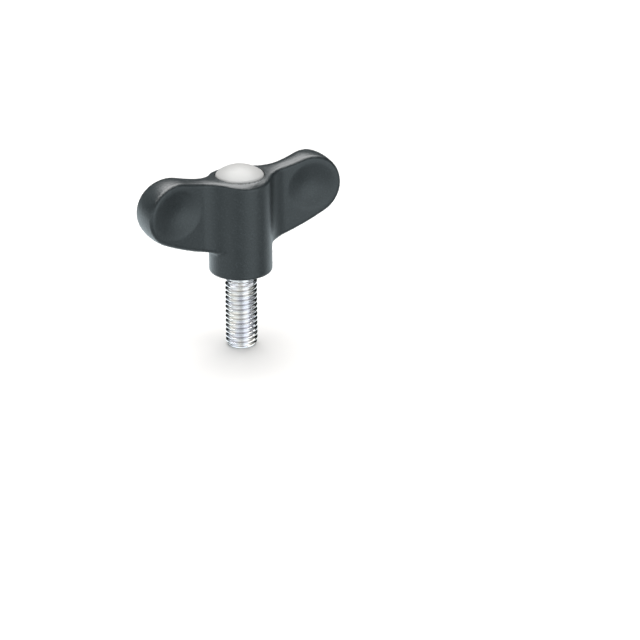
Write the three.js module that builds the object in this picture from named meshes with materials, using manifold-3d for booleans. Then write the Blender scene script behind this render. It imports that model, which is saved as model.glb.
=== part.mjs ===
// Wing screw: a moulded two-wing grip on a zinc-plated M8 stud, with a domed snap-in cover cap.
// Millimetres, +Z up. The stud's axis is the Z axis, its tip face lies on Z = 0, and the wings
// run along X.
import * as THREE from 'three';
import { ParametricGeometry } from 'three/addons/geometries/ParametricGeometry.js';
import { mergeVertices } from 'three/addons/utils/BufferGeometryUtils.js';
import Module from 'manifold-3d';

const wasm = await Module();
wasm.setup();

const ROUND_SEGMENTS = 64;
const CAP_SEGMENTS = 48;
const STUD_SEGMENTS = 48;
const HUB_END_STEPS = 4;
const HUB_TOP_STEPS = 6;
const DOME_STEPS = 7;
const DOME_INSIDE_STEPS = 3;

// stud
const STUD_LENGTH = 20; // from the tip face to the end face of the hub
const THREAD_PITCH = 1.25;
const THREAD_MAJOR_R = 3.95;
const THREAD_MINOR_R = 3.22;
const THREAD_CREST = 0.125; // share of the pitch that is flat crest
const THREAD_ROOT = 0.25; // share of the pitch that is flat root
const THREAD_SEGMENTS = 24;
const THREAD_START = Math.PI; // turn about the axis at which a crest passes the tip face
const TIP_R = 3.2; // tip face inside its 45 degree chamfer
const NECK_R = 3.2; // plain run-out neck between thread and collar
const NECK_LENGTH = 2.1;
const RUN_OUT_SLOPE = 1.2; // how steeply the thread runs out into the neck
const THREAD_OVERLAP = 0.2; // the thread reaches this far into the neck
const COLLAR_R = 5.15;
const COLLAR_PROUD = 0.3; // the collar stands this far out of the hub's end face
const COLLAR_CHAMFER = 0.3;
const COLLAR_HEIGHT = 1.5;
const GROOVE_R = 4.3; // retaining groove behind the collar
const GROOVE_HEIGHT = 1.5;
const KNURL_TIP_R = 5.0;
const KNURL_ROOT_R = 4.65;
const KNURL_TEETH = 24;
const KNURL_HEIGHT = 8;
const HEAD_TOP_R = 4.5;
const HEAD_TOP_HEIGHT = 2;

// hub
const HUB_BOTTOM_R = 7.8;
const HUB_TOP_R = 7.75;
const HUB_END_EDGE = 0.45; // edge radius around the end face
const RING_OUTER_Z = 43.9; // the top ring slopes from here, at the hub's side before rounding,
const RING_INNER_Z = 44.75; // to here at the cap's pocket

// cap and its pocket
const CAP_R = 5.92;
const CAP_RIM_Z = 44.85;
const CAP_DOME = 2.2; // rise of the dome above its rim
const CAP_WALL = 1.1;
const CAP_RIM_HEIGHT = 0.65;
const SKIRT_R = 4.75;
const SKIRT_WALL = 0.8;
const SKIRT_LENGTH = 4;
const BEAD = 0.15; // snap bead around the skirt's lower end
const SLOT_WIDTH = 1.6; // the skirt's slots part it into snap legs
const SLOT_COUNT = 4;
const SLOT_DROP = 0.4; // the slots end this far below the rim's seat
const POCKET_DEPTH = 9;

// wings
const TIP_X = 18.5; // centre of the round wing tip
const TIP_Z = 38.83;
const TIP_DISC_R = 8.2;
const ROOT_TOP = new THREE.Vector2(6.3, 44.95); // where the top edge leaves the hub's ring
const ROOT_TOP_DROP = 1.5; // the top edge lies this much lower on the axis, inside the hub
const ROOT_TOP_SLOPE = THREE.MathUtils.degToRad(8);
const ROOT_TOP_REACH = 3.5; // length of the tangent handles of the top edge
const TIP_TOP_REACH = 4.5;
const TIP_TOP_SLOPE = THREE.MathUtils.degToRad(15.5); // slope of the top edge at the tip disc
const TIP_LOW_SLOPE = THREE.MathUtils.degToRad(27.4); // slope of the lower edge at the tip disc
const TIP_LOW_REACH = 11.9;
const ROOT_LOW = new THREE.Vector2(2.2, 25.65); // inner end of the lower edge, inside the hub
const NECK_HALF = 2.34; // half thickness where the wing is thinnest
const TIP_HALF = 4.15; // half thickness at the tip
const FLARE_START = 11; // the faces part from here outwards
const FLARE_POWER = 1.3;
const ROOT_FILLET = 7.0; // upright fillet between hub and wing face
const EDGE_FILLET = 1.1; // around the wings' faces and around the hub's top ring
const EDGE_CROWN = 0.2; // the edge band is this much lower at its sides than in its middle
const DISH_DEPTH = 1.1; // thumb dish in each face
const DISH_REACH = new THREE.Vector2(6.5, 6.2);
const DISH_POWER = 1.5; // the higher, the softer the dish's rim
const GAP = 0.3; // clearance between touching pieces
const CUT_CLEAR = 1; // cutters reach this far past the face that they open

// station and ring counts of the wing plate
const QUARTER_STATIONS = 27;
const STRAIGHT_SHARE = 15 / QUARTER_STATIONS; // share of a quarter's stations before the tip disc
const FACE_RINGS = 6;
const FILLET_RINGS = 4;
const BAND_RINGS = 3; // from the fillet to the middle of the edge band

const HUB_END_Z = STUD_LENGTH;

function toSolid(geometry) {
	const bare = geometry.clone();
	bare.deleteAttribute('normal');
	bare.deleteAttribute('uv');
	const merged = mergeVertices(bare, 1e-4);
	const source = merged.index.array;
	const corners = [];
	for (let i = 0; i < source.length; i += 3) {
		const [a, b, c] = source.slice(i, i + 3);
		if (a !== b && b !== c && c !== a) corners.push(a, b, c);
	}
	const points = merged.attributes.position.array;
	if (signedVolume(points, corners) < 0) corners.reverse();
	return new wasm.Manifold(new wasm.Mesh({
		numProp: 3,
		vertProperties: new Float32Array(points),
		triVerts: new Uint32Array(corners),
	}));
}

function signedVolume(points, corners) {
	const [a, b, c] = [new THREE.Vector3(), new THREE.Vector3(), new THREE.Vector3()];
	let sum = 0;
	for (let i = 0; i < corners.length; i += 3) {
		a.fromArray(points, 3 * corners[i]);
		b.fromArray(points, 3 * corners[i + 1]);
		c.fromArray(points, 3 * corners[i + 2]);
		sum += a.dot(b.cross(c));
	}
	return sum;
}

function toMesh(name, solid, material) {
	const { vertProperties, triVerts } = solid.getMesh();
	const geometry = new THREE.BufferGeometry();
	geometry.setAttribute('position', new THREE.BufferAttribute(vertProperties, 3));
	geometry.setIndex(new THREE.BufferAttribute(triVerts, 1));
	geometry.computeVertexNormals();
	const mesh = new THREE.Mesh(geometry, material);
	mesh.name = name;
	return mesh;
}

// A turned solid from a profile of radius and height, which starts and ends on the axis.
function turned(profile, segments = ROUND_SEGMENTS) {
	const points = profile.map(([radius, height]) => new THREE.Vector2(radius, height));
	return toSolid(new THREE.LatheGeometry(points, segments).rotateX(Math.PI / 2));
}

// Profile points of a circular arc, angles in degrees from the outward direction.
function arc(centreR, centreZ, radius, from, to, steps) {
	const start = THREE.MathUtils.degToRad(from);
	const end = THREE.MathUtils.degToRad(to);
	const curve = new THREE.EllipseCurve(centreR, centreZ, radius, radius, start, end, end < start);
	return curve.getPoints(steps).map((point) => [point.x, point.y]);
}

function hubRadiusAt(z) {
	return THREE.MathUtils.mapLinear(z, HUB_END_Z, RING_INNER_Z, HUB_BOTTOM_R, HUB_TOP_R);
}

function hub() {
	const endArcR = HUB_BOTTOM_R - HUB_END_EDGE;
	const topArcR = HUB_TOP_R - EDGE_FILLET;
	const slope = Math.atan2(RING_INNER_Z - RING_OUTER_Z, HUB_TOP_R - CAP_R - GAP);
	const topArcZ = RING_OUTER_Z - EDGE_FILLET * (1 - Math.sin(slope)) / Math.cos(slope);
	const topArcEnd = 90 - THREE.MathUtils.radToDeg(slope);
	return turned([
		[0, HUB_END_Z],
		...arc(endArcR, HUB_END_Z + HUB_END_EDGE, HUB_END_EDGE, -90, 0, HUB_END_STEPS),
		...arc(topArcR, topArcZ, EDGE_FILLET, 0, topArcEnd, HUB_TOP_STEPS),
		[CAP_R + GAP, RING_INNER_Z],
		[0, RING_INNER_Z],
	]);
}

function capPocket() {
	const skirtBore = SKIRT_R + BEAD + GAP;
	const seat = CAP_RIM_Z - CAP_RIM_HEIGHT - GAP;
	return turned([
		[0, RING_INNER_Z - POCKET_DEPTH],
		[skirtBore, RING_INNER_Z - POCKET_DEPTH],
		[skirtBore, seat],
		[CAP_R + GAP, seat],
		[CAP_R + GAP, RING_INNER_Z + CUT_CLEAR],
		[0, RING_INNER_Z + CUT_CLEAR],
	]);
}

function ahead(from, slope, reach) {
	return new THREE.Vector2(from.x + reach * Math.cos(slope), from.y + reach * Math.sin(slope));
}

// Right half of the outline seen from the front: top and lower edge, each ending in a disc arc.
function wingOutline() {
	const tipCentre = new THREE.Vector2(TIP_X, TIP_Z);
	const topAngle = Math.PI / 2 + TIP_TOP_SLOPE;
	const lowAngle = TIP_LOW_SLOPE - Math.PI / 2;
	const topEnd = ahead(tipCentre, topAngle, TIP_DISC_R);
	const lowEnd = ahead(tipCentre, lowAngle, TIP_DISC_R);
	const tipArc = (angle) => new THREE.EllipseCurve(
		TIP_X, TIP_Z, TIP_DISC_R, TIP_DISC_R, angle, 0, angle > 0,
	);

	const topEdge = new THREE.CurvePath();
	topEdge.add(new THREE.LineCurve(new THREE.Vector2(0, ROOT_TOP.y - ROOT_TOP_DROP), ROOT_TOP));
	topEdge.add(new THREE.CubicBezierCurve(
		ROOT_TOP,
		ahead(ROOT_TOP, ROOT_TOP_SLOPE, ROOT_TOP_REACH),
		ahead(topEnd, TIP_TOP_SLOPE, -TIP_TOP_REACH),
		topEnd,
	));
	const lowEdge = new THREE.CurvePath();
	const lowStart = new THREE.Vector2(0, ROOT_LOW.y);
	lowEdge.add(new THREE.LineCurve(lowStart, ROOT_LOW));
	lowEdge.add(new THREE.QuadraticBezierCurve(
		ROOT_LOW,
		ahead(lowEnd, TIP_LOW_SLOPE, -TIP_LOW_REACH),
		lowEnd,
	));
	return {
		top: [topEdge, tipArc(topAngle)],
		low: [lowEdge, tipArc(lowAngle)],
		middleStart: new THREE.Vector2(0, (ROOT_TOP.y + ROOT_LOW.y) / 2),
		tipCentre,
	};
}

// Half thickness of the wings between their plain faces: hub, upright fillet, neck, flare.
function plainHalf(x, z) {
	const reach = Math.abs(x);
	const radius = hubRadiusAt(z);
	const filletX = Math.sqrt((radius + ROOT_FILLET) ** 2 - (NECK_HALF + ROOT_FILLET) ** 2);
	const tangentX = filletX * radius / (radius + ROOT_FILLET);
	if (reach < filletX) {
		const across = filletX - Math.max(reach, tangentX);
		return NECK_HALF + ROOT_FILLET - Math.sqrt(ROOT_FILLET ** 2 - across ** 2);
	}
	const flare = Math.max(0, (reach - FLARE_START) / (TIP_X + TIP_DISC_R - FLARE_START));
	return NECK_HALF + (TIP_HALF - NECK_HALF) * flare ** FLARE_POWER;
}

function dish(x, z) {
	const off = Math.hypot((Math.abs(x) - TIP_X) / DISH_REACH.x, (z - TIP_Z) / DISH_REACH.y);
	return off < 1 ? DISH_DEPTH * (1 - off ** 2) ** DISH_POWER : 0;
}

// One closed skin for both wings: u runs round the outline, v runs from the middle of the front
// face over the edge band to the middle of the back face.
function wingPlate() {
	const outline = wingOutline();
	const halfRings = FACE_RINGS + FILLET_RINGS + BAND_RINGS;
	const inset = EDGE_CROWN + EDGE_FILLET;

	function station(u) {
		const turn = (u % 1) * 4;
		const quarter = Math.floor(turn);
		const along = quarter % 2 === 0 ? turn - quarter : 1 - (turn - quarter);
		const [straight, round] = quarter === 0 || quarter === 3 ? outline.top : outline.low;
		const onRound = along > STRAIGHT_SHARE;
		const share = onRound ? (along - STRAIGHT_SHARE) / (1 - STRAIGHT_SHARE) : along / STRAIGHT_SHARE;
		const curve = onRound ? round : straight;
		const edge = curve.getPoint(share);
		const tangent = curve.getTangent(share);
		const middle = outline.middleStart.clone().lerp(outline.tipCentre, onRound ? 1 : share);
		const inward = new THREE.Vector2(-tangent.y, tangent.x);
		if (inward.dot(middle.clone().sub(edge)) < 0) inward.negate();
		return { edge, middle, inward, side: quarter < 2 ? 1 : -1 };
	}

	function skin(u, v, target) {
		const { edge, middle, inward, side } = station(u);
		const ring = Math.round(v * 2 * halfRings);
		const fromFace = Math.min(ring, 2 * halfRings - ring);
		const facing = ring < halfRings ? -1 : 1;
		const faceEdge = edge.clone().addScaledVector(inward, inset);
		if (fromFace <= FACE_RINGS) {
			const point = middle.clone().lerp(faceEdge, fromFace / FACE_RINGS);
			const half = plainHalf(point.x, point.y) - dish(point.x, point.y);
			target.set(side * point.x, facing * half, point.y);
			return;
		}
		const flank = plainHalf(faceEdge.x, faceEdge.y) - EDGE_FILLET;
		const turned = Math.min(1, (fromFace - FACE_RINGS) / FILLET_RINGS) * Math.PI / 2;
		const beyond = Math.max(0, fromFace - FACE_RINGS - FILLET_RINGS) / BAND_RINGS;
		const across = (flank + EDGE_FILLET * Math.cos(turned)) * (1 - beyond);
		const depth = EDGE_CROWN * (1 - beyond) ** 2 + EDGE_FILLET * (1 - Math.sin(turned));
		const point = edge.clone().addScaledVector(inward, depth);
		target.set(side * point.x, facing * across, point.y);
	}

	return toSolid(new ParametricGeometry(skin, 4 * QUARTER_STATIONS, 2 * halfRings));
}

function wingBody() {
	return hub().add(wingPlate()).subtract(capPocket()).subtract(studSeat());
}

const COLLAR_Z = HUB_END_Z - COLLAR_PROUD;
const GROOVE_Z = COLLAR_Z + COLLAR_HEIGHT;
const KNURL_Z = GROOVE_Z + GROOVE_HEIGHT;
const HEAD_TOP_Z = KNURL_Z + KNURL_HEIGHT;
const HEAD_END_Z = HEAD_TOP_Z + HEAD_TOP_HEIGHT;

// The space that the stud's collar and head fill in the hub, with the clearance added.
function studSeat() {
	return turned([
		[0, HUB_END_Z - CUT_CLEAR],
		[COLLAR_R + GAP, HUB_END_Z - CUT_CLEAR],
		[COLLAR_R + GAP, GROOVE_Z + GAP],
		[GROOVE_R + GAP, GROOVE_Z + GAP],
		[GROOVE_R + GAP, KNURL_Z - GAP],
		[KNURL_TIP_R + GAP, KNURL_Z - GAP],
		[KNURL_TIP_R + GAP, HEAD_END_Z + GAP],
		[0, HEAD_END_Z + GAP],
	]);
}

// Radius of the thread's trapezium at a place along one pitch, from 0 to 1.
function threadRadius(phase) {
	const flank = (1 - THREAD_CREST - THREAD_ROOT) / 2;
	const fromCrest = Math.max(0, Math.min(phase, 1 - phase) - THREAD_CREST / 2);
	const fall = Math.min(1, fromCrest / flank);
	return THREE.MathUtils.lerp(THREAD_MAJOR_R, THREAD_MINOR_R, fall);
}

// A right-hand thread whose rows of points follow the helix, so its edges stay crisp.
function threadedShank() {
	const neckStart = COLLAR_Z - NECK_LENGTH;
	const length = neckStart + THREAD_OVERLAP;
	const crestEnd = THREAD_CREST / 2;
	const rootStart = 0.5 - THREAD_ROOT / 2;
	const corners = [crestEnd, rootStart, 1 - rootStart, 1 - crestEnd];
	const turns = Math.ceil(length / THREAD_PITCH) + 2;
	const rows = turns * corners.length;

	function skin(u, v, target) {
		const row = Math.round(v * (rows + 2)) - 1;
		const turn = u % 1;
		const angle = turn * 2 * Math.PI + THREAD_START;
		if (row < 0 || row > rows) {
			target.set(0, 0, row < 0 ? 0 : length);
			return;
		}
		const phase = corners[row % corners.length];
		const height = (Math.floor(row / corners.length) + phase - 2 + u) * THREAD_PITCH;
		const z = THREE.MathUtils.clamp(height, 0, length);
		const local = THREE.MathUtils.euclideanModulo(z / THREAD_PITCH - u + 1, 1);
		const tipChamfer = TIP_R + z;
		const runOut = NECK_R + (neckStart - z) * RUN_OUT_SLOPE;
		const radius = Math.min(threadRadius(local), tipChamfer, Math.max(NECK_R, runOut));
		target.set(radius * Math.cos(angle), radius * Math.sin(angle), z);
	}

	return toSolid(new ParametricGeometry(skin, THREAD_SEGMENTS, rows + 2));
}

function knurl() {
	const outline = new THREE.Shape();
	const pitch = 2 * Math.PI / KNURL_TEETH;
	for (let tooth = 0; tooth < KNURL_TEETH; tooth++) {
		const crest = tooth * pitch;
		const root = crest + pitch / 2;
		if (tooth === 0) outline.moveTo(KNURL_TIP_R, 0);
		else outline.lineTo(KNURL_TIP_R * Math.cos(crest), KNURL_TIP_R * Math.sin(crest));
		outline.lineTo(KNURL_ROOT_R * Math.cos(root), KNURL_ROOT_R * Math.sin(root));
	}
	outline.closePath();
	const geometry = new THREE.ExtrudeGeometry(outline, { depth: KNURL_HEIGHT, bevelEnabled: false });
	return toSolid(geometry.translate(0, 0, KNURL_Z));
}

function stud() {
	const core = turned([
		[0, COLLAR_Z - NECK_LENGTH],
		[NECK_R, COLLAR_Z - NECK_LENGTH],
		[NECK_R, COLLAR_Z],
		[COLLAR_R - COLLAR_CHAMFER, COLLAR_Z],
		[COLLAR_R, COLLAR_Z + COLLAR_CHAMFER],
		[COLLAR_R, GROOVE_Z],
		[GROOVE_R, GROOVE_Z],
		[GROOVE_R, HEAD_TOP_Z],
		[HEAD_TOP_R, HEAD_TOP_Z],
		[HEAD_TOP_R, HEAD_END_Z - COLLAR_CHAMFER],
		[HEAD_TOP_R - COLLAR_CHAMFER, HEAD_END_Z],
		[0, HEAD_END_Z],
	], STUD_SEGMENTS);
	return core.add(threadedShank()).add(knurl());
}

function capShell() {
	const domeR = (CAP_R ** 2 + CAP_DOME ** 2) / (2 * CAP_DOME);
	const domeZ = CAP_RIM_Z + CAP_DOME - domeR;
	const rimAngle = THREE.MathUtils.radToDeg(Math.asin((CAP_RIM_Z - domeZ) / domeR));
	const skirtEnd = CAP_RIM_Z - CAP_RIM_HEIGHT - SKIRT_LENGTH;
	const boreR = SKIRT_R - SKIRT_WALL;
	const innerR = domeR - CAP_WALL;
	const innerEdge = THREE.MathUtils.radToDeg(Math.acos(boreR / innerR));
	return turned([
		...arc(0, domeZ, innerR, 90, innerEdge, DOME_INSIDE_STEPS),
		[boreR, skirtEnd],
		[SKIRT_R, skirtEnd],
		[SKIRT_R + BEAD, skirtEnd + 2 * BEAD],
		[SKIRT_R, skirtEnd + 4 * BEAD],
		[SKIRT_R, CAP_RIM_Z - CAP_RIM_HEIGHT],
		[CAP_R, CAP_RIM_Z - CAP_RIM_HEIGHT],
		...arc(0, domeZ, domeR, rimAngle, 90, DOME_STEPS),
	], CAP_SEGMENTS);
}

function cap() {
	let solid = capShell();
	const slotTop = CAP_RIM_Z - CAP_RIM_HEIGHT - SLOT_DROP;
	for (let slot = 0; slot < SLOT_COUNT; slot++) {
		const cutter = new THREE.BoxGeometry(SKIRT_WALL + 2 * CUT_CLEAR, SLOT_WIDTH, SKIRT_LENGTH);
		cutter.translate(SKIRT_R - SKIRT_WALL / 2, 0, slotTop - SKIRT_LENGTH / 2);
		cutter.rotateZ(Math.PI / SLOT_COUNT * (2 * slot + 1));
		solid = solid.subtract(toSolid(cutter));
	}
	return solid;
}

const finish = (color, roughness, metalness) => new THREE.MeshStandardMaterial({
	color, roughness, metalness,
});
const glassFilledPolyamide = finish(0x34393b, 0.6, 0);
const zincPlate = finish(0xc9ced4, 0.28, 1);
const lightGreyPlastic = finish(0xdcdad8, 0.35, 0);

const wingScrew = new THREE.Group();
wingScrew.add(toMesh('wing_body', wingBody(), glassFilledPolyamide));
wingScrew.add(toMesh('threaded_stud', stud(), zincPlate));
wingScrew.add(toMesh('cap', cap(), lightGreyPlastic));

export default wingScrew;
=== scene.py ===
import math

import bmesh
import bpy
import numpy as np
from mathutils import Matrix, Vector


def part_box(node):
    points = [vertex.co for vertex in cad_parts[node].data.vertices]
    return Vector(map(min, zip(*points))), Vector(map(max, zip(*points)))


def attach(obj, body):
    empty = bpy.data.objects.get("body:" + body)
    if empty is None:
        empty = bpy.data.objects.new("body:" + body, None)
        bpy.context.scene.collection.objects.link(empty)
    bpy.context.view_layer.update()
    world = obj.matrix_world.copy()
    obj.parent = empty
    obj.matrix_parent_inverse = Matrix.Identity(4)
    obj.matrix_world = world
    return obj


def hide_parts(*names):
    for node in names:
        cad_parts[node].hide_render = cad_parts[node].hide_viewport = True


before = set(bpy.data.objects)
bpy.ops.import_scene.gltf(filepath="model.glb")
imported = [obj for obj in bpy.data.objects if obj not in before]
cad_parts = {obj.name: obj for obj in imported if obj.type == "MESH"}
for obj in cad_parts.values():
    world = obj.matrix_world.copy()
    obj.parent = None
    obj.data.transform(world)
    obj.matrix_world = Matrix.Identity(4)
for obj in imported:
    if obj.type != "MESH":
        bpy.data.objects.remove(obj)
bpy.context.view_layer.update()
print("frame loaded:", sorted(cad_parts))

mm = 0.001  # shapes are worked out in millimetres and stored in metres

# boxes of the three CAD parts, in millimetres, that place the finished ones
gripLow, gripHigh = (np.array(corner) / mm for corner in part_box("wing_body"))
studLow, studHigh = (np.array(corner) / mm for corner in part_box("threaded_stud"))
capLow, capHigh = (np.array(corner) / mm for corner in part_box("cap"))


class Wire:
    # an output socket of a shader tree that works in plain arithmetic
    def __init__(self, tree, socket=None):
        self.tree = tree
        self.socket = socket

    def make(self, kind, settings=None, inputs=None, output=0):
        node = self.tree.nodes.new(kind)
        for name, value in (settings or {}).items():
            if name == "stops":
                self.setStops(node.color_ramp, value)
            else:
                setattr(node, name, value)
        for key, value in (inputs or {}).items():
            if isinstance(value, Wire):
                self.tree.links.new(value.socket, node.inputs[key])
            else:
                node.inputs[key].default_value = value
        return Wire(self.tree, node.outputs[output] if len(node.outputs) else None)

    def setStops(self, ramp, stops):
        while len(ramp.elements) < len(stops):
            ramp.elements.new(1.0)
        for element, (place, level) in zip(ramp.elements, stops):
            element.position = place
            element.color = (level, level, level, 1.0)

    def maths(self, operation, first, second):
        return self.make("ShaderNodeMath", {"operation": operation}, {0: first, 1: second})

    def __add__(self, other):
        return self.maths("ADD", self, other)

    __radd__ = __add__

    def __sub__(self, other):
        return self.maths("SUBTRACT", self, other)

    def __rsub__(self, other):
        return self.maths("SUBTRACT", other, self)

    def __mul__(self, other):
        return self.maths("MULTIPLY", self, other)

    __rmul__ = __mul__

    def __truediv__(self, other):
        return self.maths("DIVIDE", self, other)

    def __rtruediv__(self, other):
        return self.maths("DIVIDE", other, self)

    def away(self, middle):
        # how far the value lies from a middle one, either way
        gap = self - middle
        return gap.make("ShaderNodeMath", {"operation": "ABSOLUTE"}, {0: gap})

    def rise(self, low, high):
        # 0 below low, 1 above high and a smooth step between; reversed when low is above high
        values = {0: self, 1: low, 2: high, 3: 0.0, 4: 1.0}
        return self.make("ShaderNodeMapRange", {"interpolation_type": "SMOOTHSTEP"}, values)

    def along(self, direction):
        # how much of a vector points this way
        settings = {"operation": "DOT_PRODUCT"}
        return self.make("ShaderNodeVectorMath", settings, {0: self, 1: direction}, "Value")


def startTree(tree):
    tree.nodes.clear()
    return Wire(tree)


def mixColours(factor, first, second):
    firstColour, secondColour, colourResult = 6, 7, 2  # the Mix node's colour sockets share their names
    values = {"Factor": factor, firstColour: first, secondColour: second}
    return factor.make("ShaderNodeMix", {"data_type": "RGBA"}, values, colourResult)


def noise(place, grain, detail=2.0, roughness=0.5):
    # soft noise whose blobs are about one grain (in metres) across
    values = {"Vector": place, "Scale": 1 / grain, "Detail": detail, "Roughness": roughness}
    return place.make("ShaderNodeTexNoise", None, values)


def newMaterial(name):
    material = bpy.data.materials.new(name)
    material.use_nodes = True
    start = startTree(material.node_tree)
    place = start.make("ShaderNodeTexCoord", output="Object")
    return material, place


def finishMaterial(place, values):
    surface = place.make("ShaderNodeBsdfPrincipled", None, values)
    surface.make("ShaderNodeOutputMaterial", None, {"Surface": surface})


def addPiece(name, points, faces, node, material, sharpAngle=None):
    weld = 0.002 * mm  # points closer than this become one
    mesh = bpy.data.meshes.new(name)
    mesh.from_pydata([tuple(point) for point in np.asarray(points) * mm], [], faces)
    mesh.validate()
    tidy = bmesh.new()
    tidy.from_mesh(mesh)
    bmesh.ops.remove_doubles(tidy, verts=tidy.verts, dist=weld)
    bmesh.ops.recalc_face_normals(tidy, faces=tidy.faces)
    tidy.to_mesh(mesh)
    tidy.free()
    mesh.shade_smooth()
    if sharpAngle:
        mesh.set_sharp_from_angle(angle=math.radians(sharpAngle))
    mesh.materials.append(material)
    piece = bpy.data.objects.new(name, mesh)
    bpy.context.scene.collection.objects.link(piece)
    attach(piece, "root")
    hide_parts(node)
    print(name, "has", len(mesh.vertices), "points")


def ringFaces(rows, around):
    # quads between rows of points that each go once round the axis
    row = np.arange(rows - 1)[:, None] * around
    step = np.arange(around)[None, :]
    after = (step + 1) % around
    quads = np.stack([row + step, row + after, row + around + after, row + around + step], -1)
    return quads.reshape(-1, 4).tolist()


def arcPoints(centreR, centreZ, radius, fromAngle, toAngle, steps):
    # places along part of a circle, with its angles in degrees from level
    angles = np.radians(np.linspace(fromAngle, toAngle, steps + 1))
    return [(centreR + radius * math.cos(a), centreZ + radius * math.sin(a)) for a in angles]


def turnedPoints(profile, around):
    # a profile of radius and height turned once round the axis
    angles = np.arange(around) * 2 * math.pi / around
    radius, height = np.array(profile).T
    return np.stack([
        radius[:, None] * np.cos(angles),
        radius[:, None] * np.sin(angles),
        np.repeat(height[:, None], around, 1),
    ], -1).reshape(-1, 3)


# fields give the distance to a surface in millimetres, below zero inside
def roundBoth(first, second, radius):
    # the space inside both, with its edge rounded
    over = np.hypot(np.maximum(first + radius, 0), np.maximum(second + radius, 0))
    return np.minimum(np.maximum(first, second) + radius, 0) + over - radius


def roundEither(first, second, radius):
    # the space inside either, with a fillet where they meet
    under = np.hypot(np.maximum(radius - first, 0), np.maximum(radius - second, 0))
    return np.maximum(np.minimum(first, second) - radius, 0) - under + radius


def netSurface(field, low, high, cell, rounds=4):
    # quads through every cell that the surface crosses, with their corners drawn onto it
    axes = [np.arange(a, b + cell, cell) for a, b in zip(low, high)]
    values = field(axes[0][:, None, None], axes[1][None, :, None], axes[2][None, None, :])
    inside = values < 0
    count = np.zeros([n - 1 for n in inside.shape], int)
    for corner in np.ndindex(2, 2, 2):
        count += inside[tuple(slice(c, c - 1 or None) for c in corner)]
    crossed = (count > 0) & (count < 8)
    number = np.full(count.shape, -1)
    number[crossed] = np.arange(crossed.sum())
    points = np.argwhere(crossed) * cell + np.array([axis[0] for axis in axes]) + cell / 2
    quads = []
    for along in range(3):
        nearer = np.delete(inside, -1, axis=along)
        further = np.delete(inside, 0, axis=along)
        place = np.argwhere(nearer != further)
        right, up = np.eye(3, dtype=int)[(along + 1) % 3], np.eye(3, dtype=int)[(along + 2) % 3]
        here = np.zeros(3, int)
        four = [number[tuple((place - off).T)] for off in (right + up, up, here, right)]
        four = np.stack(four, -1)
        leaving = nearer[tuple(place.T)]
        quads.append(np.where(leaving[:, None], four, four[:, ::-1]))
    for _ in range(rounds):
        points += drawOnto(field, points, cell)
    return points, np.concatenate(quads).tolist()


def drawOnto(field, points, cell):
    # the step that brings each point to the surface, straight down the field's slope
    reach = 0.02       # half the distance that the slope is measured over
    leastSteep = 0.1   # keeps the step sensible where the field is nearly flat
    longest = 0.6      # step, in cells
    x, y, z = points.T
    value = field(x, y, z)
    slope = np.stack([
        field(x + reach, y, z) - field(x - reach, y, z),
        field(x, y + reach, z) - field(x, y - reach, z),
        field(x, y, z + reach) - field(x, y, z - reach),
    ], -1) / (2 * reach)
    step = -value[:, None] * slope / np.maximum((slope ** 2).sum(1), leastSteep)[:, None]
    length = np.linalg.norm(step, axis=1)[:, None]
    return step * np.minimum(1, longest * cell / np.maximum(length, 1e-9))


gripShape = dict(
    cell=0.22,             # mesh size
    hubTopR=7.75,
    endEdge=0.45,          # edge radius around the end face
    ringOuterZ=43.9,       # the top ring slopes from here up to its inner edge
    ringInnerZ=44.75,
    ringReach=3.0,         # how far the top ring runs on into the wing, and down
    ringDepth=8.0,
    capGapR=0.13,          # seam around the cap
    rimEdge=0.15,          # edge radius at the seam
    seatDepth=0.9,         # ledge that the cap's rim sits on
    seatWidth=0.9,
    pocketDepth=9.0,
    collarGap=0.05,
    collarEdge=0.1,
    headGap=0.2,
    tipX=18.5,             # centre and radius of the round wing tip
    tipZ=38.83,
    tipR=8.2,
    tipTopPoints=60,       # points along it above its furthest point, and below
    tipLowPoints=50,
    rootTop=(6.3, 44.95),  # top edge of the wing: start, slopes in degrees and handle lengths
    rootTopSlope=8,
    rootTopReach=3.5,
    rootTopDrop=1.5,       # how far the edge sinks below the top ring on its way to the axis
    tipTopSlope=15.5,
    tipTopReach=4.5,
    rootLow=(2.2, 25.65),  # lower edge of the wing, in the same way
    tipLowSlope=27.4,
    tipLowReach=11.9,
    neckHalf=2.34,         # half thickness: neck, tip, and how it grows between them
    tipHalf=4.15,
    flareStart=11.0,
    flarePower=1.3,
    flareLimit=1.1,        # share of the way to the tip's end where it stops growing
    rootFillet=7.0,        # upright, between the hub and the wing's faces
    topFillet=0.7,         # on top, where the wing runs into the ring
    lowFillet=1.0,         # under the wing, where it meets the hub
    lowFilletFull=1.5,     # full size up to here above the wing's lower edge,
    lowFilletEnd=4.0,      # and faded out here
    filletFade=1.2,        # how far inside the wing's faces it reaches full size
    leastFillet=0.04,      # all along the joint between hub and wing
    edgeFillet=1.1,        # edge radius around the wings and the top ring
    edgeCrown=0.2,         # how much lower the edge band is at its sides than in its middle
    dishDepth=1.1,         # thumb dish: depth, half width and half height, and how it deepens
    dishReach=(6.5, 6.2),
    dishPower=1.5,
)


def ahead(start, slope, reach):
    # the place this far from a start, at a slope in radians
    return np.array(start) + reach * np.array([math.cos(slope), math.sin(slope)])


def bezier(controls, steps=40):
    t = np.linspace(0, 1, steps + 1)[:, None]
    points = [np.array(control) * np.ones_like(t) for control in controls]
    while len(points) > 1:
        points = [(1 - t) * a + t * b for a, b in zip(points, points[1:])]
    return points[0]


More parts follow.
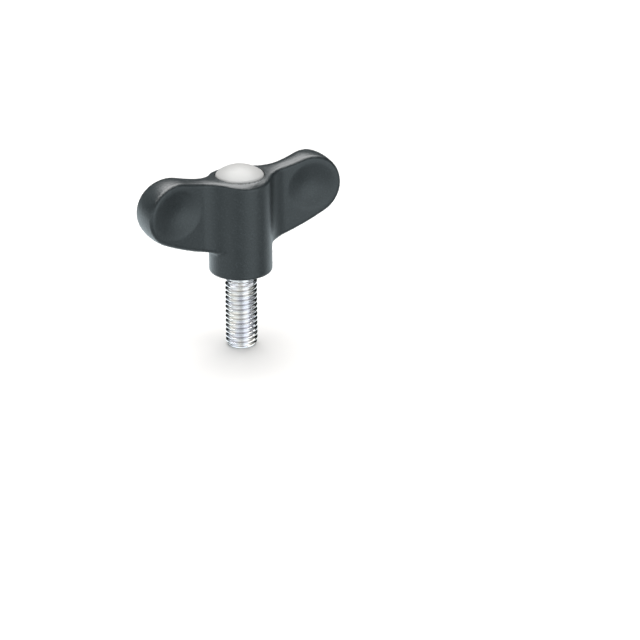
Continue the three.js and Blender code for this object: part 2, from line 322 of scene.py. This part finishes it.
def wingEdges(shape):
    # top and lower edge of one wing from the axis to the tip's furthest point, seen from the front
    centre = (shape["tipX"], shape["tipZ"])
    radius = shape["tipR"]
    topSlope = math.radians(shape["tipTopSlope"])
    lowSlope = math.radians(shape["tipLowSlope"])
    rootSlope = math.radians(shape["rootTopSlope"])
    topEnd = ahead(centre, math.pi / 2 + topSlope, radius)
    lowEnd = ahead(centre, lowSlope - math.pi / 2, radius)
    rootTop, rootLow = np.array(shape["rootTop"]), np.array(shape["rootLow"])
    top = bezier([
        rootTop,
        ahead(rootTop, rootSlope, shape["rootTopReach"]),
        ahead(topEnd, topSlope, -shape["tipTopReach"]),
        topEnd,
    ])
    low = bezier([rootLow, ahead(lowEnd, lowSlope, -shape["tipLowReach"]), lowEnd])
    topAngles = np.linspace(math.pi / 2 + topSlope, 0, shape["tipTopPoints"])
    lowAngles = np.linspace(lowSlope - math.pi / 2, 0, shape["tipLowPoints"])
    topArc = [ahead(centre, angle, radius) for angle in topAngles]
    lowArc = [ahead(centre, angle, radius) for angle in lowAngles]
    top = np.concatenate([[(0, rootTop[1] - shape["rootTopDrop"])], top, topArc[1:]])
    low = np.concatenate([[(0, rootLow[1])], low, lowArc[1:]])
    return top, low


def edgeDistance(x, z, top, low):
    # from each place to the nearest point of a wing's outline, below zero inside it
    x, z = np.broadcast_arrays(x, z)
    gridShape, x, z = x.shape, x.ravel(), z.ravel()
    start = np.concatenate([top[:-1], low[:-1]])
    along = np.concatenate([np.diff(top, axis=0), np.diff(low, axis=0)])
    size = (along ** 2).sum(1)
    nearest = np.empty(x.size)
    chunk = 20000
    for first in range(0, x.size, chunk):
        part = slice(first, first + chunk)
        dx = x[part, None] - start[:, 0]
        dz = z[part, None] - start[:, 1]
        share = np.clip((dx * along[:, 0] + dz * along[:, 1]) / size, 0, 1)
        off = (dx - share * along[:, 0]) ** 2 + (dz - share * along[:, 1]) ** 2
        nearest[part] = np.sqrt(off.min(1))
    within = (z < np.interp(x, *top.T)) & (z > np.interp(x, *low.T)) & (x < top[-1, 0])
    return np.where(within, -nearest, nearest).reshape(gridShape)


def edgeTable(top, low, step=0.1, spare=2, pastAxis=1.0):
    # the same distance read from a table between fixed places, which is far quicker
    justShort = 1.001  # keeps a place inside the table's last cell
    firstX, firstZ = -pastAxis, low[:, 1].min() - spare
    xs = np.arange(firstX, top[-1, 0] + spare, step)
    zs = np.arange(firstZ, top[:, 1].max() + spare, step)
    table = edgeDistance(xs[:, None], zs[None, :], top, low)

    def read(x, z):
        column = np.clip((x - firstX) / step, 0, len(xs) - justShort)
        row = np.clip((z - firstZ) / step, 0, len(zs) - justShort)
        i, j = column.astype(int), row.astype(int)
        u, v = column - i, row - j
        near = table[i, j] * (1 - v) + table[i, j + 1] * v
        far = table[i + 1, j] * (1 - v) + table[i + 1, j + 1] * v
        return near * (1 - u) + far * u

    return read


def hubRadius(shape, z):
    # the hub narrows a little from its end face to its top
    share = (z - gripLow[2]) / (shape["ringInnerZ"] - gripLow[2])
    return gripHigh[1] + (shape["hubTopR"] - gripHigh[1]) * share


def rootFillet(shape, z):
    # where the fillet between hub and wing has its centre, and where it leaves the hub
    radius, fillet = hubRadius(shape, z), shape["rootFillet"]
    filletX = np.sqrt((radius + fillet) ** 2 - (shape["neckHalf"] + fillet) ** 2)
    return filletX, filletX * radius / (radius + fillet)


def wingHalf(shape, x, z):
    # half thickness between the faces: fillet at the hub, neck, flare and thumb dish
    fillet, neck, tip = shape["rootFillet"], shape["neckHalf"], shape["tipHalf"]
    filletX, tangentX = rootFillet(shape, z)
    across = np.clip(filletX - np.maximum(x, tangentX), 0, fillet)
    span = shape["tipX"] + shape["tipR"] - shape["flareStart"]
    flare = np.clip((x - shape["flareStart"]) / span, 0, shape["flareLimit"]) ** shape["flarePower"]
    plain = neck + fillet - np.sqrt(fillet ** 2 - across ** 2) + (tip - neck) * flare
    off = ((x - shape["tipX"]) / shape["dishReach"][0]) ** 2
    off = off + ((z - shape["tipZ"]) / shape["dishReach"][1]) ** 2
    return plain - shape["dishDepth"] * np.clip(1 - off, 0, 1) ** shape["dishPower"]


def gripField(shape):
    top, low = wingEdges(shape)
    toEdge = edgeTable(top, low)
    seamR = capHigh[0] + shape["capGapR"]
    ringSlope = (shape["ringInnerZ"] - shape["ringOuterZ"]) / (shape["hubTopR"] - seamR)
    rimSeatZ = shape["ringInnerZ"] - shape["seatDepth"]
    pocketR = seamR - shape["seatWidth"]
    pocketZ = shape["ringInnerZ"] - shape["pocketDepth"]
    ringFootZ = shape["ringOuterZ"] - shape["ringDepth"]
    collarR = studHigh[0] + shape["collarGap"]
    headZ = studHigh[2] + shape["headGap"]
    slopeStep = 0.05  # distance that the slope of the wing's faces is measured over

    def field(x, y, z):
        x, y = np.abs(x), np.abs(y)
        radius = np.hypot(x, y)
        ring = z - shape["ringInnerZ"] + ringSlope * (radius - seamR)
        hubSide = radius - hubRadius(shape, z)
        hub = roundBoth(hubSide, gripLow[2] - z, shape["endEdge"])
        hub = roundBoth(hub, ring, shape["edgeFillet"])

        half = wingHalf(shape, x, z)
        steep = (wingHalf(shape, x + slopeStep, z) - half) / slopeStep
        crown = shape["edgeCrown"] * np.minimum(y / (half - shape["edgeFillet"]), 1) ** 2
        edge = toEdge(x, z) + crown
        side = (y - half) / np.hypot(1, steep)
        # the top ring runs into the wing's top edge as one surface, rounded along both sides
        ringPart = np.maximum(ring, np.maximum(hubSide - shape["ringReach"], ringFootZ - z))
        cover = roundEither(ringPart, edge, shape["topFillet"])
        side = np.where(x < rootFillet(shape, z)[1], hubSide, side)
        wing = roundBoth(side, cover, shape["edgeFillet"])

        # under the wing the joint is filleted, but not along its faces
        aboveLow = z - np.interp(x, *low.T)
        fadeHeight = shape["lowFilletEnd"] - shape["lowFilletFull"]
        nearLow = np.clip((shape["lowFilletEnd"] - aboveLow) / fadeHeight, 0, 1)
        fillet = shape["lowFillet"] * nearLow * np.clip(-side / shape["filletFade"], 0, 1)
        body = roundEither(hub, wing, shape["leastFillet"] + fillet)

        rimSeat = np.maximum(radius - seamR, rimSeatZ - z)
        body = roundBoth(body, -rimSeat, shape["rimEdge"])
        bore = np.maximum(radius - pocketR, pocketZ - z)
        body = np.maximum(body, -bore)
        studSeat = np.maximum(radius - collarR, z - headZ)
        return roundBoth(body, -studSeat, shape["collarEdge"])

    return field


def plasticMaterial():
    # slate-black glass-filled polyamide with a fine matt moulded grain
    look = dict(
        dark=(0.005, 0.008, 0.009, 1),
        light=(0.027, 0.033, 0.035, 1),
        grain=0.00028,   # sizes of the three noises, in metres
        fleck=0.0005,
        cloud=0.006,
        grainStops=[(0.35, 0.0), (0.7, 1.0)],
        fleckStops=[(0.55, 0.0), (0.68, 1.0)],
        shares=(0.45, 0.4, 0.15),   # of grain, fleck and cloud in the lighter colour
        roughness=0.38,
        grainRoughness=0.2,         # how much the noises change it
        cloudRoughness=0.08,
        shine=0.75,
        bump=0.00006,
        bumpStrength=0.7,
        fleckBump=0.8,              # height of the flecks against the grain's
    )
    material, place = newMaterial("mattMouldedPolyamide")
    grain = noise(place, look["grain"], detail=2.0, roughness=0.6)
    fleck = noise(place, look["fleck"], detail=1.0)
    cloud = noise(place, look["cloud"], detail=2.0)
    mottle = grain.make("ShaderNodeValToRGB", {"stops": look["grainStops"]}, {0: grain})
    spots = fleck.make("ShaderNodeValToRGB", {"stops": look["fleckStops"]}, {0: fleck})
    grainShare, fleckShare, cloudShare = look["shares"]
    mask = mottle * grainShare + spots * fleckShare + cloud * cloudShare
    rougher = (grain - 0.5) * look["grainRoughness"]
    bump = {
        "Height": grain + fleck * look["fleckBump"],
        "Distance": look["bump"],
        "Strength": look["bumpStrength"],
    }
    finishMaterial(place, {
        "Base Color": mixColours(mask, look["dark"], look["light"]),
        "Roughness": look["roughness"] + rougher + (cloud - 0.5) * look["cloudRoughness"],
        "Specular IOR Level": look["shine"],
        "Normal": place.make("ShaderNodeBump", None, bump),
    })
    return material


def buildGrip():
    shape = gripShape
    margin = 2 * shape["cell"]  # of empty cells around the piece
    field = gripField(shape)
    points, faces = netSurface(field, gripLow - margin, gripHigh + margin, shape["cell"])
    addPiece("wing_grip", points, faces, "wing_body", plasticMaterial())


studShape = dict(
    pitch=1.25,
    crestR=3.95,
    rootR=3.22,
    crestShare=0.125,     # share of the pitch that is crest, and root
    rootShare=0.2,
    rounding=0.15,        # how far corners of the thread are rounded, 0 to 1
    tipR=3.2,
    neckR=3.2,
    neckLength=2.1,
    neckEdge=0.2,         # small radius where the neck meets the collar
    runOutLength=0.4,     # how far the thread runs out over the neck, and how steeply
    runOutSlope=1.2,
    collarProud=0.3,
    collarChamfer=0.3,
    collarHeight=1.5,
    collarEdge=0.05,      # size of the softened corners of the collar,
    chamferIn=0.03,       # and the chamfer's end points, across and along
    chamferUp=0.02,
    grooveR=4.3,
    grooveHeight=1.5,
    knurlR=(4.65, 5.0),
    knurlTeeth=24,
    knurlHeight=8,
    knurlEdge=0.3,        # length of its tapered ends, and their size against its own
    knurlEndShare=0.97,
    headR=4.5,
    around=144,
    rowsPerPitch=14,
    startTurn=0.5,        # share of a turn
)


def threadRadius(shape, phase):
    # crest, straight flank and root over one pitch, with slightly soft corners
    fromCrest = np.abs((phase + 0.5) % 1 - 0.5) - shape["crestShare"] / 2
    flank = (1 - shape["crestShare"] - shape["rootShare"]) / 2
    fall = np.clip(fromCrest / flank, 0, 1)
    soft = fall * fall * (3 - 2 * fall)
    fall = fall + (soft - fall) * shape["rounding"]
    return shape["crestR"] + (shape["rootR"] - shape["crestR"]) * fall


def studPoints(shape):
    # rows that climb with the helix; what lies past either end is pressed flat onto it
    collarZ = gripLow[2] - shape["collarProud"]
    neckStart = collarZ - shape["neckLength"]
    threadTop = neckStart + shape["runOutLength"]
    spareTurns = 1
    turn = np.arange(shape["around"]) / shape["around"]
    rows = int((threadTop / shape["pitch"] + 2 * spareTurns) * shape["rowsPerPitch"]) + 1
    place = (np.arange(rows)[:, None] / shape["rowsPerPitch"] - spareTurns + turn) * shape["pitch"]
    z = np.clip(place, 0, threadTop)
    radius = threadRadius(shape, z / shape["pitch"] - turn)
    runOut = shape["neckR"] + np.maximum(0, neckStart - z) * shape["runOutSlope"]
    radius = np.minimum(radius, np.minimum(shape["tipR"] + z, runOut))
    around = (turn + shape["startTurn"]) * 2 * math.pi
    thread = np.stack([radius * np.cos(around), radius * np.sin(around), z], -1)
    return thread, collarZ, threadTop


def studHead(shape, collarZ, threadTop):
    # neck, collar and groove, then the knurled rows, then the plain end inside the hub
    chamfer = shape["collarChamfer"]
    edge, chamferIn, chamferUp = shape["collarEdge"], shape["chamferIn"], shape["chamferUp"]
    grooveZ = collarZ + shape["collarHeight"]
    knurlZ = grooveZ + shape["grooveHeight"]
    knurlTop = knurlZ + shape["knurlHeight"]
    collarR, neck, neckEdge = studHigh[0], shape["neckR"], shape["neckEdge"]
    profile = [
        (neck, threadTop),
        *arcPoints(neck + neckEdge, collarZ - neckEdge, neckEdge, 180, 90, 4),
        (collarR - chamfer - edge, collarZ),
        (collarR - chamfer + chamferIn, collarZ + chamferUp),
        (collarR - chamferIn, collarZ + chamfer - chamferUp),
        (collarR, collarZ + chamfer + edge),
        (collarR, grooveZ - edge),
        (collarR - edge, grooveZ),
        (shape["grooveR"], grooveZ),
        (shape["grooveR"], knurlZ),
    ]
    lower = turnedPoints(profile, shape["around"])
    teeth = shape["knurlTeeth"]
    angle = np.arange(shape["around"]) * 2 * math.pi / shape["around"]
    share = np.abs((angle * teeth / (2 * math.pi)) % 1 - 0.5) * 2
    knurl = shape["knurlR"][0] + (shape["knurlR"][1] - shape["knurlR"][0]) * share
    rows = []
    ends, taper = shape["knurlEndShare"], shape["knurlEdge"]
    for scale, height in ((ends, knurlZ), (1, knurlZ + taper), (1, knurlTop - taper), (ends, knurlTop)):
        radius = knurl * scale
        flat = np.full_like(angle, height)
        rows.append(np.stack([radius * np.cos(angle), radius * np.sin(angle), flat], -1))
    upper = turnedPoints([
        (shape["headR"], knurlTop),
        (shape["headR"], studHigh[2] - chamfer),
        (shape["headR"] - chamfer, studHigh[2]),
    ], shape["around"])
    return np.concatenate([lower, *rows, upper])


def zincMaterial():
    # bright bluish zinc plate over rolled steel
    look = dict(
        bright=(0.95, 0.885, 0.83, 1),
        dull=(0.82, 0.785, 0.82, 1),
        tint=0.0045,           # sizes of the three noises, in metres
        cloud=0.0016,
        pit=0.00012,
        shares=(0.7, 0.3),     # of tint and cloud in the mask between the two colours
        dullest=0.35,          # mask values where one colour is whole, and the other
        brightest=0.65,
        roughness=0.15,
        cloudRoughness=0.12,   # how much the noises change it
        pitRoughness=0.06,
        bump=0.000006,
        bumpStrength=0.5,
        cloudBump=0.5,         # height of the clouds against the pits'
    )
    material, place = newMaterial("brightZincPlate")
    cloud = noise(place, look["cloud"], detail=3.0, roughness=0.6)
    pit = noise(place, look["pit"], detail=2.0)
    tint = noise(place, look["tint"], detail=1.0)
    tintShare, cloudShare = look["shares"]
    mask = (tint * tintShare + cloud * cloudShare).rise(look["dullest"], look["brightest"])
    colour = mixColours(mask, look["dull"], look["bright"])
    rougher = (cloud - 0.5) * look["cloudRoughness"]
    bump = {
        "Height": pit + cloud * look["cloudBump"],
        "Distance": look["bump"],
        "Strength": look["bumpStrength"],
    }
    finishMaterial(place, {
        "Base Color": colour,
        "Metallic": 1.0,
        "Roughness": look["roughness"] + rougher + (pit - 0.5) * look["pitRoughness"],
        "Normal": place.make("ShaderNodeBump", None, bump),
    })
    return material


def buildStud():
    shape = studShape
    around = shape["around"]
    thread, collarZ, threadTop = studPoints(shape)
    # each row is closed by the first point of the row one pitch above, to follow the helix
    rows = len(thread)
    number = np.arange(rows * around).reshape(rows, around)
    above = np.minimum(np.arange(rows) + shape["rowsPerPitch"], rows - 1)
    closing = number[above, 0]
    ring = np.concatenate([number, closing[:, None]], 1)
    quads = np.stack([ring[:-1, :-1], ring[:-1, 1:], ring[1:, 1:], ring[1:, :-1]], -1)
    head = studHead(shape, collarZ, threadTop)
    points = np.concatenate([thread.reshape(-1, 3), head])
    offset = rows * around
    headRows = len(head) // around
    headFaces = (np.array(ringFaces(headRows, around)) + offset).tolist()
    faces = quads.reshape(-1, 4).tolist() + headFaces
    faces.append(list(range(offset + (headRows - 1) * around, offset + headRows * around)))
    faces.append(number[0].tolist())
    addPiece("zinc_stud", points, faces, "threaded_stud", zincMaterial(), sharpAngle=32)


capShape = dict(
    rimHeight=0.65,
    dome=2.2,             # rise of the dome above its rim
    domeSteps=40,         # rows of points over the dome outside, and inside
    insideSteps=16,
    domeEnd=89.5,         # degrees, where a small flat face closes it
    rimEdge=0.28,
    rimPoints=[(0.08, 0.55), (0.32, 0.15)],  # in and down from the rim's corner, for an edge of 1
    rimTurn=2,            # degrees of the dome that the rim's edge takes
    footEdge=0.1,         # chamfer under the rim
    wall=1.1,
    skirtR=4.75,
    skirtWall=0.8,
    bead=0.15,
    slotWidth=1.6,
    slotDrop=0.4,         # top of the slots, below the rim's seat
    slots=4,
    legOverlap=0.1,       # how far the legs reach up into the solid skirt
    legSteps=14,
    around=160,
)


def capMaterial():
    # light grey plastic with a soft gloss
    look = dict(
        pale=(0.334, 0.327, 0.319, 1),
        shade=(0.304, 0.297, 0.289, 1),
        cloud=0.004,           # sizes of the two noises, in metres
        grain=0.00025,
        shares=(0.7, 0.3),     # of cloud and grain in the paler colour
        roughness=0.44,
        grainRoughness=0.1,    # how much the noises change it
        cloudRoughness=0.06,
        bump=0.000012,
        bumpStrength=0.4,
    )
    material, place = newMaterial("lightGreyPlastic")
    cloud = noise(place, look["cloud"], detail=2.0)
    grain = noise(place, look["grain"], detail=2.0)
    cloudShare, grainShare = look["shares"]
    colour = mixColours(cloud * cloudShare + grain * grainShare, look["shade"], look["pale"])
    rougher = (grain - 0.5) * look["grainRoughness"]
    bump = {"Height": grain, "Distance": look["bump"], "Strength": look["bumpStrength"]}
    finishMaterial(place, {
        "Base Color": colour,
        "Roughness": look["roughness"] + rougher + (cloud - 0.5) * look["cloudRoughness"],
        "Normal": place.make("ShaderNodeBump", None, bump),
    })
    return material


def snapLegs(shape, section):
    # the skirt between its slots, as one closed bar for each leg
    points, faces = [], []
    slotAngle = shape["slotWidth"] / shape["skirtR"]
    size = len(section)
    for leg in range(shape["slots"]):
        start = math.pi / shape["slots"] * (2 * leg - 1) + slotAngle / 2
        sweep = 2 * math.pi / shape["slots"] - slotAngle
        first = len(points)
        for step in range(shape["legSteps"] + 1):
            angle = start + sweep * step / shape["legSteps"]
            points += [(r * math.cos(angle), r * math.sin(angle), z) for r, z in section]
        for step in range(shape["legSteps"]):
            low = first + step * size
            for corner in range(size):
                after = (corner + 1) % size
                faces.append([low + corner, low + after, low + size + after, low + size + corner])
        faces.append(list(range(first, first + size)))
        faces.append(list(range(len(points) - size, len(points))))
    return points, faces


def buildCap():
    shape = capShape
    rimR, rise = capHigh[0], shape["dome"]
    rimZ = capHigh[2] - rise
    seatZ = rimZ - shape["rimHeight"]
    slotTop = seatZ - shape["slotDrop"]
    domeR = (rimR ** 2 + rise ** 2) / (2 * rise)
    domeZ = capHigh[2] - domeR
    rimAngle = math.degrees(math.asin((rimZ - domeZ) / domeR))
    skirtR, bead, skirtEnd = shape["skirtR"], shape["bead"], capLow[2]
    boreR = skirtR - shape["skirtWall"]
    innerR = domeR - shape["wall"]
    innerAngle = math.degrees(math.acos(boreR / innerR))
    edge, foot, domeEnd = shape["rimEdge"], shape["footEdge"], shape["domeEnd"]
    profile = [
        *arcPoints(0, domeZ, innerR, domeEnd, innerAngle, shape["insideSteps"]),
        (boreR, slotTop),
        (skirtR, slotTop),
        (skirtR, seatZ),
        (rimR - foot, seatZ),
        (rimR, seatZ + foot),
        (rimR, rimZ - edge),
        *[(rimR - inward * edge, rimZ - down * edge) for inward, down in shape["rimPoints"]],
        *arcPoints(0, domeZ, domeR, rimAngle + shape["rimTurn"], domeEnd, shape["domeSteps"]),
    ]
    points = turnedPoints(profile, shape["around"]).tolist()
    faces = ringFaces(len(profile), shape["around"])
    faces.append(list(range(len(points) - shape["around"], len(points))))
    faces.append(list(range(shape["around"])))
    legTop = slotTop + shape["legOverlap"]
    legPoints, legFaces = snapLegs(shape, [
        (boreR, legTop),
        (boreR, skirtEnd),
        (skirtR, skirtEnd),
        (skirtR + bead, skirtEnd + 2 * bead),
        (skirtR, skirtEnd + 4 * bead),
        (skirtR, legTop),
    ])
    offset = len(points)
    faces += [[offset + corner for corner in face] for face in legFaces]
    points += legPoints
    addPiece("domed_cap", points, faces, "cap", capMaterial(), sharpAngle=40)


cameraView = dict(
    azimuth=-31.2,      # degrees, as seen from above; 0 looks along +Y
    elevation=24.25,
    distance=0.6465,    # from the camera to the stud's tip, along its line of sight
    lens=146.25,
    sensor=36,
    aimRight=0.01943,   # the camera is aimed this far beside and above the stud's tip
    aimUp=0.00562,
    nearest=0.01,
)
studio = dict(
    floorSize=8.0,
    floorColour=(0.593, 0.578, 0.567, 1),
    backdrop=1.25,            # brightness of the plain background
    # brightness by height, from straight down to straight up, in front of the part and behind it
    front=[
        (0.0, 0.70), (0.10, 0.70), (0.17, 0.32), (0.30, 0.58),
        (0.42, 1.0), (0.56, 1.0), (0.68, 0.05),
    ],
    back=[(0.0, 0.4), (0.25, 0.85), (0.36, 1.0), (0.47, 0.13), (0.55, 0.01), (0.9, 0.01)],
    sideFade=0.35,            # how far to either side of the part the front turns into the back
    roomLevel=1.3,
    roomColour=(0.70, 0.80, 0.84, 1),
    boxColour=(0.80, 0.80, 0.80, 1),
    # soft patches: degrees to the right of the camera and up, where they start and end, brightness
    patches=[
        (45, -10, 0.75, 0.97, 0.8),
        (-48, -10, 0.75, 0.97, 0.4),
        (92, -30, 0.86, 0.98, -0.7),
        (-120, 27, 0.85, 0.98, 0.5),
        (-140, -40, 0.68, 0.95, 1.2),
        (140, -40, 0.6, 0.95, 0.6),
    ],
    boxLevel=7.7,
    boxMiddle=(0.0, 0.25),    # of the softbox overhead, to the right and away from the camera,
    boxHalf=(0.62, 0.75),     # for each metre that it hangs above the part
    boxSoft=0.14,
    boxFade=(0.05, 0.15),     # how far above the horizon it fades in
)


def cameraAxes():
    # to the camera's right, level away from it, along its line of sight, and up in its picture
    azimuth = math.radians(cameraView["azimuth"])
    elevation = math.radians(cameraView["elevation"])
    right = Vector((math.cos(azimuth), math.sin(azimuth), 0))
    level = Vector((-math.sin(azimuth), math.cos(azimuth), 0))
    forward = level * math.cos(elevation) - Vector((0, 0, math.sin(elevation)))
    return right, level, forward, right.cross(forward)


def buildCamera():
    right, _, forward, up = cameraAxes()
    tip = Vector((0, 0, studLow[2] * mm))
    aim = tip + right * cameraView["aimRight"] + up * cameraView["aimUp"]
    data = bpy.data.cameras.new("camera")
    data.lens = cameraView["lens"]
    data.sensor_width = cameraView["sensor"]
    data.clip_start = cameraView["nearest"]
    camera = bpy.data.objects.new("camera", data)
    camera.location = aim - forward * cameraView["distance"]
    camera.rotation_euler = forward.to_track_quat("-Z", "Y").to_euler()
    bpy.context.scene.collection.objects.link(camera)
    bpy.context.scene.camera = camera


def buildFloor():
    half = studio["floorSize"] / 2
    mesh = bpy.data.meshes.new("floor")
    corners = [(-half, -half, 0), (half, -half, 0), (half, half, 0), (-half, half, 0)]
    mesh.from_pydata(corners, [], [(0, 1, 2, 3)])
    material, place = newMaterial("paleFloor")
    finishMaterial(place, {
        "Base Color": studio["floorColour"],
        "Roughness": 1.0,
        "Specular IOR Level": 0.0,
    })
    mesh.materials.append(material)
    floor = bpy.data.objects.new("floor", mesh)
    bpy.context.scene.collection.objects.link(floor)
    floor.visible_glossy = False   # the room below the part lights it instead
    floor.visible_diffuse = False


def buildWorld():
    # a white table with a softbox overhead, a dark room behind it and a paler one in front
    world = bpy.data.worlds.new("softStudio")
    world.use_nodes = True
    bpy.context.scene.world = world
    start = startTree(world.node_tree)
    right, level, _, _ = cameraAxes()
    direction = start.make("ShaderNodeTexCoord", output="Generated")
    up = direction.along((0, 0, 1))
    aside = direction.along(right)
    away = direction.along(level)
    height = up * 0.5 + 0.5
    front = height.make("ShaderNodeValToRGB", {"stops": studio["front"]}, {0: height})
    back = height.make("ShaderNodeValToRGB", {"stops": studio["back"]}, {0: height})
    behind = away.rise(-studio["sideFade"], studio["sideFade"])
    room = (front + behind * (back - front)) * studio["roomLevel"]
    for azimuth, elevation, edge, heart, brightness in studio["patches"]:
        side, rise = math.radians(azimuth), math.radians(elevation)
        toPatch = (right * math.sin(side) - level * math.cos(side)) * math.cos(rise)
        toPatch.z = math.sin(rise)
        room = room + direction.along(toPatch).rise(edge, heart) * brightness
    (middleX, middleY), (halfX, halfY) = studio["boxMiddle"], studio["boxHalf"]
    soft = studio["boxSoft"]
    across = (aside / up).away(middleX).rise(halfX + soft, halfX - soft)
    along = (away / up).away(middleY).rise(halfY + soft, halfY - soft)
    box = across * along * up.rise(*studio["boxFade"])
    lit = room + box * studio["boxLevel"]
    seen = start.make("ShaderNodeLightPath", output="Is Camera Ray")
    strength = lit + seen * (studio["backdrop"] - lit)
    colour = mixColours(box + seen, studio["roomColour"], studio["boxColour"])
    values = {"Color": colour, "Strength": strength}
    background = strength.make("ShaderNodeBackground", None, values)
    background.make("ShaderNodeOutputWorld", None, {"Surface": background})


buildCamera()
buildFloor()
buildWorld()
bpy.context.scene.view_settings.view_transform = "Standard"
print("stage ready")
buildGrip()
buildStud()
buildCap()
